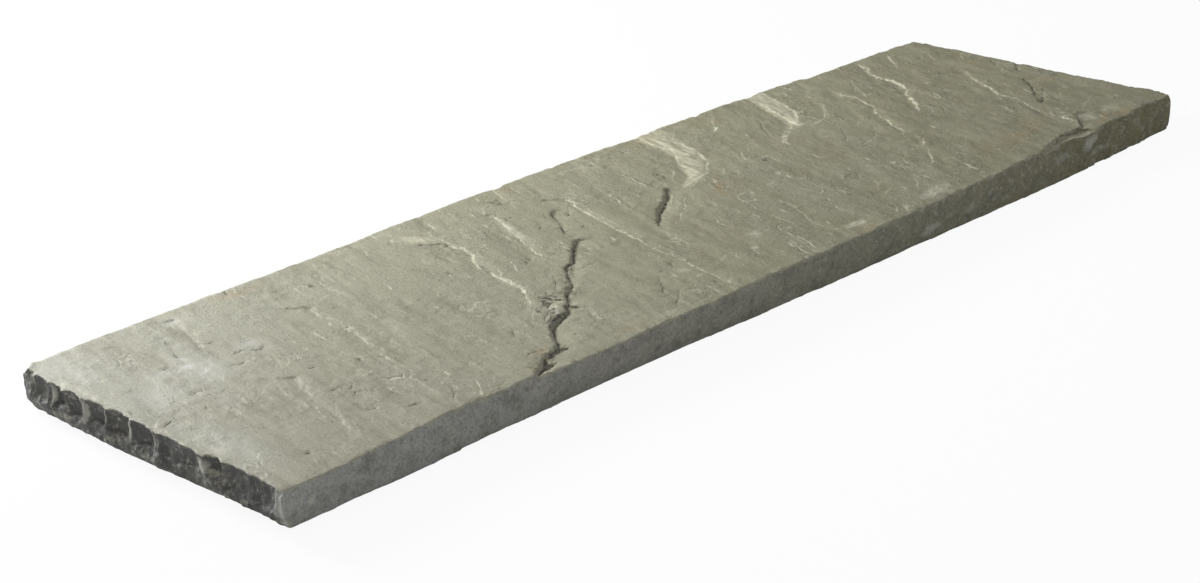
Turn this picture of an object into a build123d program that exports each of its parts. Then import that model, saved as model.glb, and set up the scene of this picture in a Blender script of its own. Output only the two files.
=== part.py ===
from build123d import *
from math import hypot, radians, tan
import os

# Overall size in mm, before the edges wander and the ends swell
length = 1000.0
width = 280.0
thickness = 32.0

# Greatest step between two riven layers of the top, and lift of the bed where flakes are lost
riven_depth = 3.0
bed_lift = 3.3

# Depth of the hollows struck off the ends, off the near side under its broken arris, and off the corners
scallop_bite = 5.0
scoop_bite = 8.0
scoop_spread = 60.0
chip_bite = 6.0

# Steepness of the fracture walls in degrees
cleft_wall = 65
break_wall = 50
bed_wall = 50


# Places on the plan are in thousandths of the length and of the width, from the middle of the piece
def plan(x, y):
    return x * length / 1000, y * width / 1000


# Each side is a smooth wandering line: places along it, and how far it lies out from the straight edge
top_near = [(-499, 0), (-440, -0.5), (-385, -5), (-300, -6), (-235, -2), (-60, 0.5),
            (120, 0.5), (290, -3.5), (400, -5), (499, -5)]
middle_near = [(-501, -0.5), (-330, -3), (-180, -2), (-60, -1), (120, 0), (290, -0.5),
               (400, -1.5), (500, -2)]
bottom_near = [(-491, -5), (-380, -5.5), (-230, -8.5), (-140, -8), (-60, -5.5), (80, -3.5),
               (240, -1), (330, 0.5), (440, -3), (496, -5)]
top_left = [(429, -3), (250, -2), (71, -3.5), (-125, 0.5), (-321, -1)]
middle_left = [(357, 2), (118, 2.5), (-111, 3), (-329, 2)]
bottom_left = [(357, -8.5), (118, -7), (-111, -9), (-329, -10)]
right_side = [(-421, 3), (-214, -1), (179, -4)]
far_side = [(334, 4), (250, 8), (110, 9), (0, 10), (-157, 8), (-278, 4.5), (-422, 3.2)]
far_stretch = [(430, -1), (338, -0.5)]


def outline(height, near_side, left_side, far_left, far_right, far_out, right_out):
    # The far side steps in a little near its right end, where a strip has come away
    near = [(x * length / 1000, -width / 2 - out, height) for x, out in near_side]
    right = [(length / 2 + out + right_out, y * width / 1000, height) for y, out in right_side]
    stretch = [(x * length / 1000, width / 2 + out + far_out, height) for x, out in far_stretch]
    far = [(x * length / 1000, width / 2 + out + far_out, height) for x, out in far_side]
    left = [(-length / 2 - out, y * width / 1000, height) for y, out in left_side]
    right_corner = (far_right[0] * length / 1000, width / 2 + far_right[1], height)
    left_corner = (far_left[0] * length / 1000, width / 2 + far_left[1], height)
    sides = [
        Spline(near),
        Spline([near[-1]] + right + [right_corner]),
        Spline([right_corner] + stretch),
        Line(stretch[-1], far[0]),
        Spline(far + [left_corner]),
        Spline([left_corner] + left + [near[0]]),
    ]
    return make_face(Wire(sides))


# A lost flake is a tilted plane. It meets the face along the line from the first point to the last,
# sinks to its full depth at the fracture line between them and ends there in a wall of the given steepness.
def flake(points, depth, wall, level, up):
    drawn = [plan(x, y) for x, y in points]
    (ax, ay), (bx, by) = drawn[0], drawn[-1]
    run = hypot(bx - ax, by - ay)
    across = [((bx - ax) * (y - ay) - (by - ay) * (x - ax)) / run for x, y in drawn]
    deepest = max(across, key=abs)
    slope = depth / deepest
    side = 1 if deepest > 0 else -1
    nx = -(by - ay) / run * side
    ny = (bx - ax) / run * side
    overrun = 2.0
    rise = -slope * side * overrun
    corners = [(ax - nx * overrun, ay - ny * overrun, rise)]
    corners += [(x, y, slope * away) for (x, y), away in zip(drawn[1:-1], across[1:-1])]
    corners += [(bx - nx * overrun, by - ny * overrun, rise)]
    floor = make_face(Polyline([(x, y, level - up * sink) for x, y, sink in corners], close=True))
    lean = 1 / tan(radians(wall))
    return extrude(floor, amount=(depth + overrun) * hypot(lean, 1), dir=(nx * lean, ny * lean, up))


# A shell-shaped hollow is part of a ball: it goes bite deep into a flat face and opens to the given spread
def shell(spread, bite):
    radius = (spread ** 2 / 4 + bite ** 2) / (2 * bite)
    return radius - bite, Sphere(radius)


def end_scallop(across, height, spread, bite, end):
    stand_off, ball = shell(spread, bite)
    return Pos(end * (length / 2 + stand_off), across * width / 1000, height * thickness) * ball


def side_scoop(along, height, spread, bite):
    stand_off, ball = shell(spread, bite)
    return Pos(along * length / 1000, -width / 2 - stand_off, height * thickness) * ball


def arris_chip(along, across, spread, bite, out):
    stand_off, ball = shell(spread, bite)
    reach = stand_off / hypot(out[0], out[1], 1)
    x, y = plan(along, across)
    return Pos(x + out[0] * reach, y + out[1] * reach, thickness + reach) * ball


body = loft([
    outline(0, bottom_near, bottom_left, (-491, -3), (492, -5), -2, -3),
    outline(thickness * 0.45, middle_near, middle_left, (-496, 1), (493, -1), 1.5, 0),
    outline(thickness, top_near, top_left, (-492, 0), (493, -3), 0, 0),
])

# Steps of the top that drop to the right, with steep dark walls: the main cleft and its branches, then
# the second cleft and the small ones near the right end. Each has its share of the riven depth.
right_drops = [
    ([(-60, -589), (-284, -589), (-278, -471), (-258, -432), (-240, -411), (-216, -300),
      (-190, -271), (-165, -175), (-125, -43), (-98, 36), (-78, 107), (-55, 250), (-40, 300)], 0.7),
    ([(-228, -536), (-266, -461), (-240, -414), (-216, -304), (-205, -282), (-190, -275),
      (-165, -179), (-135, -250)], 1.0),
    ([(-150, -193), (-156, -161), (-140, -104), (-112, -14), (-84, 71), (-70, 29)], 0.8),
    ([(-84, 86), (-80, 121), (-58, 250), (-46, 282), (-36, 229)], 0.6),
    ([(-28, -71), (-21, -29), (-8, 21), (8, 68), (31, 111), (43, 154), (52, 100)], 0.9),
    ([(418, -243), (411, -207), (440, -118), (460, -36), (472, -71)], 0.5),
    ([(470, 0), (476, 29), (496, 86), (512, 57)], 0.5),
    ([(372, -543), (383, -439), (392, -407), (402, -368), (412, -357), (445, -518)], 0.7),
]

# Steps of the top that drop to the left, with paler sloping walls: share of the riven depth and steepness
left_drops = [
    ([(100, 589), (119, 536), (113, 357), (98, 286), (78, 179), (60, 143), (45, 125)], 0.8, 10),
    ([(262, 589), (271, 536), (248, 400), (238, 286), (226, 250), (190, 171), (176, 129)], 0.8, 11),
    ([(222, 257), (240, 193), (262, 207), (290, 307), (284, 400)], 0.4, 20),
    ([(300, 446), (323, 339), (313, 150), (290, 43), (268, -136), (245, -196), (215, -321)], 0.45, 20),
    ([(395, 589), (399, 464), (384, 371), (373, 186), (345, 107), (326, 29), (312, 43)], 0.5, 16),
    ([(405, 286), (443, 161), (420, 7), (406, -71), (392, -279), (383, -421), (355, -464)], 0.45, 20),
    ([(-60, 429), (-28, 314), (-38, 179), (-50, 0), (-60, -214), (-76, -386), (-79, -493),
      (-97, -589)], 0.4, 22),
    ([(-110, 464), (-90, 379), (-104, 236), (-122, 71), (-140, 36)], 0.35, 22),
    ([(-180, 393), (-153, 314), (-158, 200), (-178, 18), (-183, -100), (-200, -171),
      (-220, -214)], 0.45, 22),
    ([(-330, 357), (-302, 257), (-312, 36), (-327, -150), (-338, -257), (-345, -464),
      (-366, -554)], 0.35, 25),
    ([(-415, 36), (-387, -50), (-400, -186), (-410, -321), (-424, -414), (-445, -446)], 0.35, 25),
    ([(-405, 500), (-379, 457), (-392, 304), (-410, 150), (-430, 125)], 0.35, 25),
]

# The near arris is broken out over a sunk floor, with two scoops in the face below it
broken_arris = [(270, -679), (303, -489), (335, -461), (352, -454), (374, -450), (388, -489), (410, -679)]
scoops = [(345, 1.06, 1.0, 1.0), (388, 0.6, 0.85, 0.5)]

# Flakes lost from the bed: under the left end, along the near side and at the far left corner
bed_drops = [
    ([(-130, -607), (-620, -607), (-620, 607), (-420, 607)], 1.1),
    ([(140, -589), (-345, -589), (-352, -429), (-330, 36)], 1.0),
    ([(-455, 589), (-530, 607), (-530, 393), (-478, 371)], 0.6),
]

# Hollows of the ends: place across, height as a share of the thickness, spread and share of the full bite.
# The deeper row undercuts the top arris and the shallow row flattens the swell below it.
left_hollows = [
    (432, 0.78, 26, 0.75), (354, 0.75, 22, 0.85), (286, 0.68, 25, 0.75), (200, 0.7, 30, 0.85),
    (107, 0.76, 32, 0.95), (0, 0.74, 28, 0.7), (-93, 0.78, 30, 0.65), (-164, 0.6, 26, 0.7),
    (-252, 0.88, 16, 0.8), (-329, 0.74, 32, 0.65), (-414, 0.76, 28, 0.6),
    (321, 0.2, 38, 0.35), (96, 0.15, 46, 0.35), (-143, 0.2, 42, 0.4), (-346, 0.18, 38, 0.4),
]
right_hollows = [
    (421, 0.66, 34, 0.8), (307, 0.76, 38, 0.9), (186, 0.62, 36, 0.7), (64, 0.74, 34, 0.85),
    (-57, 0.64, 38, 0.7), (-179, 0.75, 34, 0.5), (-293, 0.66, 36, 0.4),
    (350, 0.15, 40, 0.5), (121, 0.12, 44, 0.5), (-129, 0.14, 42, 0.45),
]

# Chips off the top arrises: place along and across, spread, share of the full bite and the way it faces
chips = [
    (-41, 536, 15, 0.4, (0, 1)), (21, 537, 10, 0.3, (0, 1)), (196, 530, 11, 0.3, (0, 1)),
    (-270, -486, 12, 0.35, (0, -1)), (-126, -500, 10, 0.3, (0, -1)), (136, -501, 12, 0.35, (0, -1)),
    (191, -498, 9, 0.3, (0, -1)), (-492, 500, 24, 1.0, (-1, 1)),
]

cuts = [flake(points, riven_depth * share, cleft_wall, thickness, 1) for points, share in right_drops]
cuts += [flake(points, riven_depth * share, wall, thickness, 1) for points, share, wall in left_drops]
cuts += [flake(broken_arris, riven_depth, break_wall, thickness, 1)]
cuts += [flake(points, bed_lift * share, bed_wall, 0, -1) for points, share in bed_drops]
cuts += [side_scoop(along, height, scoop_spread * wide, scoop_bite * deep)
         for along, height, wide, deep in scoops]
cuts += [end_scallop(across, height, spread, scallop_bite * share, -1)
         for across, height, spread, share in left_hollows]
cuts += [end_scallop(across, height, spread, scallop_bite * share, 1)
         for across, height, spread, share in right_hollows]
cuts += [arris_chip(along, across, spread, chip_bite * share, out)
         for along, across, spread, share, out in chips]

# The origin is the middle of the footprint, on the level of the bed
stone = body - cuts
low = stone.bounding_box().min
high = stone.bounding_box().max
stone = Pos(-(low.X + high.X) / 2, -(low.Y + high.Y) / 2, -low.Z) * stone

os.makedirs("parts", exist_ok=True)
export_step(stone, "parts/coping_stone.step")
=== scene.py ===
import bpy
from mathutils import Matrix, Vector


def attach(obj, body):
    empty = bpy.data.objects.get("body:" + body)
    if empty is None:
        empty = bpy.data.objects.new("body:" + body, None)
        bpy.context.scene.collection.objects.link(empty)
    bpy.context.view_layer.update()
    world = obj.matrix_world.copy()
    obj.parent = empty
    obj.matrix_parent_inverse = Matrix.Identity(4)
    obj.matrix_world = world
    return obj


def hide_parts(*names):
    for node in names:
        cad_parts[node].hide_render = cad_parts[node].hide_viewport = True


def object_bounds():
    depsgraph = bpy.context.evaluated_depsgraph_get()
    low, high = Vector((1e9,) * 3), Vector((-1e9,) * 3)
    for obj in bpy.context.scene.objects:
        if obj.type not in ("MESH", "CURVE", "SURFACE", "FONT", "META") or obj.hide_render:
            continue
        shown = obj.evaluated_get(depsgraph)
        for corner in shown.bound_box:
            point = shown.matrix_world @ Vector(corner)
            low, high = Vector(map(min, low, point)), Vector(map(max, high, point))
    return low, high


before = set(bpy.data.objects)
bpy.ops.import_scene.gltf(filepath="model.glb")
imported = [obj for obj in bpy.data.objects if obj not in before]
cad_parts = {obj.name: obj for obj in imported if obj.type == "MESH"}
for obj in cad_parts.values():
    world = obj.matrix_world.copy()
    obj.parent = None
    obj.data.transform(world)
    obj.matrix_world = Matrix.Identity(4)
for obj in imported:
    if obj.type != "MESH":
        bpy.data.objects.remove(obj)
cad_box = [list(corner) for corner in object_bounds()]

import math

import bpy
import numpy as np
from mathutils import Matrix, Vector

# Lengths up to the materials are in mm, on the plan that the marks were read from. ORIGIN is the middle of the
# footprint on that plan and TOP is the level of the riven top.
MM = 0.001
ORIGIN = np.array([0.445, 5.422, 0.0])
TOP = 32.0

# Camera at the photograph's viewing angle, found from the corners of the slab

camera_data = bpy.data.cameras.new("camera")
camera_data.lens = 73.309
camera_data.sensor_width = 36.0
camera = bpy.data.objects.new("camera", camera_data)
bpy.context.scene.collection.objects.link(camera)
bpy.context.scene.camera = camera
right = (0.69074, -0.72259, -0.02725)
up = (0.29101, 0.24329, 0.92527)
back = (-0.66196, -0.64705, 0.37833)
place = (np.array([-1303.94, -1196.63, TOP + 660.37]) - ORIGIN) * MM
camera.matrix_world = Matrix((
    (right[0], up[0], back[0], place[0]),
    (right[1], up[1], back[1], place[1]),
    (right[2], up[2], back[2], place[2]),
    (0.0, 0.0, 0.0, 1.0),
))

# Marks of this stone on its plan. Each is a broken line of points with the half width of the mark there.

# Pale broken edges of the riven layers: partly fresh stone, partly a painted highlight on the step faces that face the
# light
PALE = [
    [(-386, -14, 0.4), (-390, -22, 1.3), (-396, -36, 1.2), (-399, -47, 0.4)],
    [(-396, -59, 0.4), (-400, -72, 0.9), (-408, -86, 1.0), (-415, -97, 0.3)],
    [(-399, -80, 0.4), (-405, -94, 0.9), (-414, -110, 1.0), (-425, -124, 0.3)],
    [(-393, -99, 0.3), (-399, -105, 0.8), (-405, -108, 0.3)],
    [(-305, 16, 0.4), (-312, 9, 1.3), (-317, -6, 1.2), (-319, -24, 1.2), (-325, -38, 1.1), (-326, -54, 1.2),
     (-328, -65, 1.2), (-337, -72, 1.2), (-339, -86, 1.1), (-341, -104, 1.0), (-343, -117, 0.8), (-347, -128, 0.4)],
    [(-282, 31, 0.5), (-285, 18, 1.2), (-281, 4, 1.0), (-284, -7, 0.4)],
    [(-279, -48, 0.3), (-287, -61, 0.9), (-294, -74, 0.9), (-294, -88, 0.9), (-297, -100, 0.8), (-302, -114, 0.3)],
    [(-309, -20, 0.6), (-311, -32, 1.4), (-312, -36, 0.3)],
    [(-356, -70, 0.5), (-358, -80, 1.8), (-358, -89, 0.5)],
    [(-303, 72, 0.5), (-305, 60, 1.8), (-305, 42, 0.9), (-300, 31, 0.3)],
    [(-331, 70, 0.3), (-334, 55, 1.0), (-337, 40, 0.3)],
    [(-301, 123, 0.3), (-306, 113, 1.0), (-309, 106, 0.3)],
    [(-267, 103, 0.3), (-270, 85, 1.0), (-271, 68, 0.9), (-270, 48, 0.3)],
    [(-440, 99, 0.4), (-446, 92, 1.0), (-450, 88, 0.3)],
    [(-380, 104, 0.3), (-386, 94, 1.2), (-392, 82, 0.3)],
    [(-458, -92, 0.3), (-452, -108, 0.9), (-444, -123, 1.1), (-439, -111, 1.0), (-432, -106, 0.4)],
    [(-371, -36, 0.3), (-378, -45, 1.0), (-387, -46, 0.4)],
    [(-399, -115, 0.3), (-389, -120, 0.8), (-380, -128, 0.3)],
    [(-391, -99, 0.3), (-383, -103, 0.7), (-377, -114, 0.7), (-373, -126, 0.3)],
    [(-474, 28, 0.3), (-478, 10, 0.8), (-480, 2, 0.3)],
    [(-483, 70, 0.4), (-486, 58, 0.8), (-489, 46, 0.3)],
    [(-416, 71, 0.4), (-420, 62, 1.4), (-422, 55, 0.6)],
    [(-150, 112, 0.5), (-152, 92, 1.6), (-153, 72, 1.5), (-157, 55, 1.6), (-166, 46, 1.8), (-171, 34, 1.6),
     (-174, 16, 1.6), (-178, -2, 1.6), (-179, -18, 1.8), (-186, -29, 1.6), (-192, -38, 1.2), (-196, -50, 0.4)],
    [(-181, -21, 0.6), (-176, -29, 1.0), (-172, -36, 0.4)],
    [(-214, -64, 0.4), (-206, -57, 1.0), (-196, -50, 0.5)],
    [(-130, 142, 0.4), (-134, 127, 1.4), (-137, 116, 0.6)],
    [(-137, 118, 0.4), (-146, 117, 1.0), (-149, 106, 0.5)],
    [(-89, 104, 0.4), (-94, 92, 1.2), (-101, 74, 1.2), (-109, 56, 1.3), (-117, 38, 1.4), (-123, 22, 1.3),
     (-128, 10, 1.2), (-131, 0, 0.4)],
    [(-82, 146, 0.5), (-88, 130, 1.4), (-96, 112, 0.5)],
    [(-80, 117, 0.3), (-84, 112, 1.0), (-89, 102, 0.4)],
    [(-46, 148, 0.5), (-53, 135, 1.6), (-60, 120, 0.5)],
    [(-33, 146, 0.4), (-38, 128, 1.0), (-42, 116, 0.3)],
    [(-26, 112, 0.4), (-27, 95, 1.1), (-28, 78, 1.2), (-35, 62, 1.2), (-41, 42, 1.3), (-47, 20, 1.2), (-51, 0, 1.2),
     (-54, -20, 1.2), (-60, -42, 1.2), (-61, -60, 1.1), (-65, -76, 1.2), (-70, -90, 1.2), (-72, -108, 1.1),
     (-75, -126, 1.0), (-82, -138, 0.4)],
    [(-173, 132, 0.4), (-177, 124, 1.6), (-180, 118, 0.4)],
    [(-174, 74, 0.4), (-174, 62, 1.0), (-175, 54, 0.3)],
    [(-236, -67, 0.3), (-235, -80, 0.8), (-239, -89, 0.5), (-247, -87, 0.3)],
    [(-5, -15, 0.4), (6, -6, 1.4), (18, 1, 1.6), (30, 12, 1.6), (42, 20, 0.8), (50, 24, 0.3)],
    [(8, 9, 0.4), (22, 18, 1.0), (36, 31, 1.3), (47, 47, 1.0), (52, 58, 0.4)],
    [(5, 120, 0.4), (2, 106, 1.2), (-2, 98, 0.4)],
    [(15, 100, 0.3), (8, 86, 0.7), (4, 72, 0.3)],
    [(65, 82, 0.3), (66, 68, 1.0), (62, 58, 0.4)],
    [(84, 80, 0.3), (76, 66, 0.9), (66, 57, 0.9), (58, 46, 0.4)],
    [(64, 0, 0.4), (65, -10, 1.2), (61, -26, 1.2), (55, -42, 1.1), (49, -57, 1.0), (47, -74, 0.8), (45, -88, 0.7),
     (36, -105, 0.3)],
    [(94, 6, 0.3), (91, -8, 1.2), (87, -20, 0.4)],
    [(80, -42, 0.3), (76, -58, 0.9), (68, -76, 0.9), (60, -90, 0.8), (50, -106, 0.3)],
    [(106, -70, 0.5), (98, -82, 1.0), (91, -98, 0.3)],
    [(157, 40, 0.3), (151, 22, 1.0), (147, 6, 0.3)],
    [(184, 16, 0.3), (179, 2, 0.9), (176, -10, 0.3)],
    [(168, -64, 0.3), (160, -78, 0.9), (148, -88, 0.4)],
    [(158, -93, 0.3), (146, -98, 1.0), (130, -98, 0.3)],
    [(187, -94, 0.3), (178, -105, 0.9), (170, -112, 0.3)],
    [(184, 116, 0.8), (181, 110, 2.4), (170, 107, 0.8)],
    [(204, 136, 0.4), (192, 124, 1.4), (186, 118, 0.4)],
    [(186, 30, 0.4), (188, 40, 2.0), (198, 50, 2.6), (210, 58, 2.6), (222, 63, 2.0), (233, 71, 0.8)],
    [(212, -15, 0.4), (222, -11, 1.6), (236, -12, 1.4), (250, -7, 1.0), (262, 4, 1.4), (272, 14, 0.5)],
    [(252, -58, 0.4), (243, -66, 1.0), (232, -80, 1.2), (218, -86, 0.4)],
    [(122, 146, 1.0), (119, 128, 1.6), (118, 104, 1.2), (110, 92, 1.6), (100, 81, 1.4), (92, 71, 1.0), (84, 60, 0.5)],
    [(140, 146, 0.6), (136, 130, 1.6), (131, 104, 1.4), (126, 84, 1.4), (119, 70, 2.0), (110, 58, 2.2), (100, 50, 1.8),
     (90, 42, 2.0), (78, 40, 1.8), (68, 39, 1.6), (58, 35, 1.4), (52, 33, 0.4)],
    [(280, 148, 1.0), (274, 128, 2.0), (266, 108, 2.0), (260, 90, 2.2), (250, 80, 1.8), (244, 74, 0.5)],
    [(264, 144, 0.6), (256, 124, 1.4), (250, 106, 1.6), (244, 88, 2.0), (238, 70, 2.4), (233, 62, 0.8)],
    [(240, 55, 0.3), (250, 56, 1.4), (262, 59, 1.4), (272, 66, 1.4), (282, 74, 1.4), (289, 85, 0.4)],
    [(330, 112, 0.3), (324, 100, 1.2), (321, 88, 1.0), (322, 74, 1.2), (318, 58, 1.2), (314, 45, 1.4), (304, 36, 1.5),
     (296, 23, 1.4), (290, 10, 1.4), (283, 1, 1.2), (280, -12, 1.0), (268, -22, 0.9), (268, -34, 0.6), (272, -39, 0.3)],
    [(272, -38, 0.4), (262, -47, 1.1), (250, -56, 0.4)],
    [(401, 132, 0.8), (395, 115, 2.0), (385, 106, 1.6), (381, 92, 1.8), (383, 78, 1.8), (377, 64, 1.8), (372, 52, 1.8),
     (360, 46, 1.8), (352, 33, 2.0), (342, 22, 1.8), (331, 11, 1.4), (326, 5, 0.4)],
    [(444, 134, 0.4), (434, 121, 1.8), (421, 103, 1.0), (416, 96, 0.3)],
    [(472, 110, 0.3), (460, 90, 1.0), (450, 77, 0.3)],
    [(444, 42, 0.4), (434, 26, 1.4), (424, 10, 1.4), (417, -5, 1.5), (407, -20, 1.4), (407, -38, 1.3), (400, -54, 1.2),
     (396, -68, 1.3), (389, -79, 1.0), (386, -84, 0.3)],
    [(401, -82, 0.4), (392, -94, 1.4), (388, -108, 1.2), (385, -116, 0.4)],
    [(493, 82, 0.4), (480, 73, 1.0), (472, 64, 0.3)],
    [(452, -86, 0.3), (438, -90, 1.0), (422, -98, 0.4)],
    [(450, -54, 0.3), (436, -65, 1.0), (424, -76, 0.3)],
    [(435, -24, 0.4), (432, -34, 2.0), (428, -42, 0.4)],
    [(377, 24, 0.3), (374, 8, 0.8), (370, -4, 0.3)],
]

# Dark joints and cracks with dirt in them, and painted shade where the overhanging edges and the steps cast shadow
DARK = [
    [(-278, -133, 1.5), (-266, -129, 2.4), (-256, -119, 2.6), (-242, -117, 1.8), (-232, -108, 1.2), (-224, -98, 0.9),
     (-217, -86, 1.6), (-208, -79, 3.2), (-196, -76, 3.0), (-188, -75, 1.4), (-182, -67, 1.6), (-176, -63, 1.0),
     (-168, -52, 1.0), (-160, -48, 2.0), (-153, -46, 1.2), (-144, -33, 1.1), (-134, -20, 1.2), (-127, -13, 2.0),
     (-118, -10, 1.4), (-108, -2, 1.2), (-98, 9, 1.1), (-86, 18, 0.6)],
    [(-82, 30, 0.5), (-79, 36, 1.4), (-72, 48, 0.7), (-66, 56, 0.7), (-60, 67, 1.2), (-55, 73, 0.8), (-50, 77, 0.4)],
    [(-170, -45, 0.4), (-160, -34, 0.8), (-150, -22, 0.5)],
    [(-184, -44, 1.2), (-180, -52, 2.2), (-175, -59, 1.2)],
    [(-197, -60, 0.8), (-189, -57, 1.5), (-184, -56, 0.6)],
    [(-182, -64, 0.8), (-177, -68, 1.6), (-172, -75, 0.6)],
    [(-210, -72, 0.4), (-203, -68, 1.1), (-199, -66, 0.4)],
    [(-240, -112, 1.0), (-234, -116, 2.0), (-230, -115, 0.6)],
    [(-254, -127, 0.8), (-262, -129, 2.0), (-272, -126, 1.4), (-277, -122, 0.4)],
    [(-262, -108, 0.4), (-256, -105, 0.9), (-247, -109, 0.4)],
    [(-236, -67, 0.3), (-239, -72, 0.9), (-244, -77, 0.4)],
    [(-24, -12, 0.5), (-16, -2, 0.9), (-6, 5, 1.0), (4, 14, 1.4), (16, 20, 1.4), (28, 27, 1.2), (36, 36, 1.2),
     (44, 43, 0.4)],
    [(36, 52, 0.4), (42, 59, 0.9), (48, 63, 0.3)],
    [(57, 55, 0.8), (60, 62, 1.2), (62, 74, 0.8)],
    [(222, 98, 0.3), (212, 87, 0.8), (204, 80, 1.1), (199, 70, 0.7), (192, 61, 0.4)],
    [(412, -60, 1.0), (418, -58, 2.4), (424, -55, 0.8)],
    [(424, -48, 0.5), (434, -39, 0.9), (446, -28, 0.8), (456, -14, 0.9), (460, -9, 0.3)],
    [(432, -48, 0.4), (446, -40, 0.7)],
    [(474, 7, 0.6), (484, 14, 0.8), (494, 23, 0.5)],
    [(478, 34, 0.5), (486, 43, 0.8)],
    [(335, -129, 1.0), (348, -125, 1.2), (366, -124, 1.2), (382, -124, 1.0), (390, -116, 0.9), (394, -106, 0.3)],
    [(-450, 17, 0.5), (-445, 17, 1.0), (-439, 17, 0.4)],
    [(-402, 32, 0.5), (-397, 31, 1.0), (-391, 32, 0.4)],
    [(-376, 42, 0.5), (-371, 41, 1.1), (-366, 44, 0.4)],
    [(-389, 46, 0.5), (-384, 47, 1.0), (-379, 48, 0.4)],
    [(-441, 62, 0.4), (-436, 63, 0.9), (-428, 64, 0.4)],
    [(-488, -9, 0.8), (-484, -7, 1.4), (-482, -6, 0.5)],
    [(-457, -9, 0.5), (-455, -6, 0.8)],
    [(-393, 77, 0.4), (-388, 74, 0.8), (-384, 74, 0.4)],
    [(-373, -11, 0.4), (-369, -12, 0.9), (-365, -12, 0.3)],
    [(-375, -57, 0.4), (-371, -54, 1.0)],
    [(-383, -67, 0.4), (-378, -65, 1.0)],
    [(-386, -50, 0.5), (-382, -50, 0.9)],
    [(-387, -89, 0.5), (-383, -90, 1.0)],
    [(-368, -107, 0.5), (-364, -107, 1.0), (-362, -109, 0.3)],
    [(-341, -120, 0.5), (-336, -114, 0.8), (-330, -104, 0.4), (-324, -101, 0.3)],
    [(-458, -111, 0.5), (-454, -111, 1.0)],
    [(-144, 12, 0.8), (-141, 15, 0.6)],
    [(-140, 17, 0.8), (-136, 18, 1.3), (-134, 20, 0.4)],
    [(-86, 55, 0.6), (-84, 57, 1.3)],
    [(-65, 31, 0.4), (-63, 34, 1.2), (-60, 37, 0.4)],
    [(-51, 60, 0.6), (-48, 62, 1.4)],
    [(-45, 66, 0.4), (-40, 70, 0.8), (-37, 73, 0.3)],
    [(-92, -74, 1.0), (-89, -74, 0.8)],
    [(-80, -75, 0.5), (-76, -70, 0.8)],
    [(-126, -108, 0.3), (-116, -99, 0.8), (-110, -92, 0.6), (-100, -80, 0.4)],
    [(-134, -127, 0.3), (-124, -120, 0.9), (-116, -112, 0.8), (-104, -105, 0.3)],
    [(-104, 147, 0.4), (-109, 135, 0.8), (-113, 124, 0.3)],
    [(-84, 139, 0.3), (-92, 129, 0.8)],
    [(-118, 86, 0.3), (-122, 78, 0.7), (-127, 66, 0.3)],
    [(-60, 131, 0.3), (-66, 120, 0.8), (-71, 114, 0.3)],
    [(-170, 101, 0.8), (-166, 100, 1.4)],
    [(-163, 97, 0.6), (-160, 95, 1.0)],
    [(-156, 86, 0.5), (-153, 86, 1.0)],
    [(-92, 88, 0.4), (-89, 91, 1.0)],
    [(-127, -20, 0.4), (-119, -25, 0.8), (-108, -24, 0.4)],
    [(222, 0, 0.3), (228, 8, 0.7), (238, 20, 0.6), (250, 32, 0.3)],
    [(136, -92, 0.5), (142, -91, 1.0)],
    [(83, 128, 0.5), (87, 130, 0.8)],
    [(452, -108, 0.4), (460, -104, 0.8), (466, -103, 0.3)],
]

# Broad rough scars where a layer has torn away
SCARS = [
    [(132, 154, 13), (128, 130, 12), (124, 108, 10), (116, 90, 9), (106, 74, 9), (94, 60, 8), (82, 48, 7),
     (70, 40, 5), (57, 35, 2)],
    [(272, 152, 9), (266, 132, 9), (258, 112, 9), (249, 95, 8), (242, 80, 7), (235, 64, 3)],
    [(-166, 122, 3), (-164, 112, 7), (-160, 104, 6)],
    [(-192, -62, 3), (-180, -58, 5), (-172, -62, 3)],
]

# Pale bruises, rust stains and a painted glint with a painted sheen round it: place along and across, half length,
# half width, turn in degrees and strength of each patch
BRUISES = [
    (76, -122, 12, 4.5, 0, 1.0), (9, -110, 10, 3, -35, 0.9), (22, -118, 6, 3, 0, 0.7), (-12, -95, 3, 2.5, 0, 1.0),
    (58, -117, 4, 2, 0, 0.7), (12, -79, 11, 8, 0, 0.6), (172, -126, 22, 8, 8, 0.7), (86, -137, 5, 2, 0, 0.7),
    (103, -75, 3, 3, 0, 0.8), (-80, -85, 7, 6, 0, 0.6), (-80, -101, 10, 2, 0, 0.6), (-40, -91, 13, 1.4, 0, 0.5),
    (-145, -130, 11, 3.5, 0, 0.7), (28, 133, 25, 1.8, 0, 0.8), (-360, 112, 8, 6, 0, 0.5), (-234, -33, 3, 2.5, 0, 0.7),
    (-372, 125, 6, 6, 0, 0.5), (40, 124, 8, 10, 20, 0.45), (108, -14, 10, 4, 20, 0.5), (435, -115, 14, 12, 30, 0.5),
    (337, 68, 6, 4, 0, 0.5), (-102, 70, 38, 6, 72, 0.65), (408, -110, 16, 9, 60, 0.6), (355, -134, 28, 5, 0, 0.6),
    (-490, -65, 6, 22, 0, 0.5), (-493, 70, 4, 40, 0, 0.45), (485, 20, 8, 20, -20, 0.4),
]
RUST = [
    (70, 12, 9, 2.2, 38, 1.0), (86, 26, 7, 3, 38, 0.6), (-275, -130, 7, 5, 0, 0.8), (-250, -109, 9, 5, 20, 0.6),
    (415, -124, 13, 4, 20, 0.8), (-318, 132, 24, 7, 0, 0.5), (120, 138, 18, 10, 30, 0.4), (-180, -128, 16, 4, 0, 0.5),
    (330, -96, 48, 9, 12, 0.4), (472, -28, 10, 8, 0, 0.35), (470, 58, 8, 8, 0, 0.35), (-40, 140, 8, 4, 20, 0.5),
    (198, 125, 9, 4, 30, 0.4), (75, -135, 9, 4, 0, 0.5), (178, 130, 9, 6, 0, 0.35), (280, -92, 20, 6, 0, 0.3),
    (440, -128, 20, 4, 5, 0.4),
]
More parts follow.
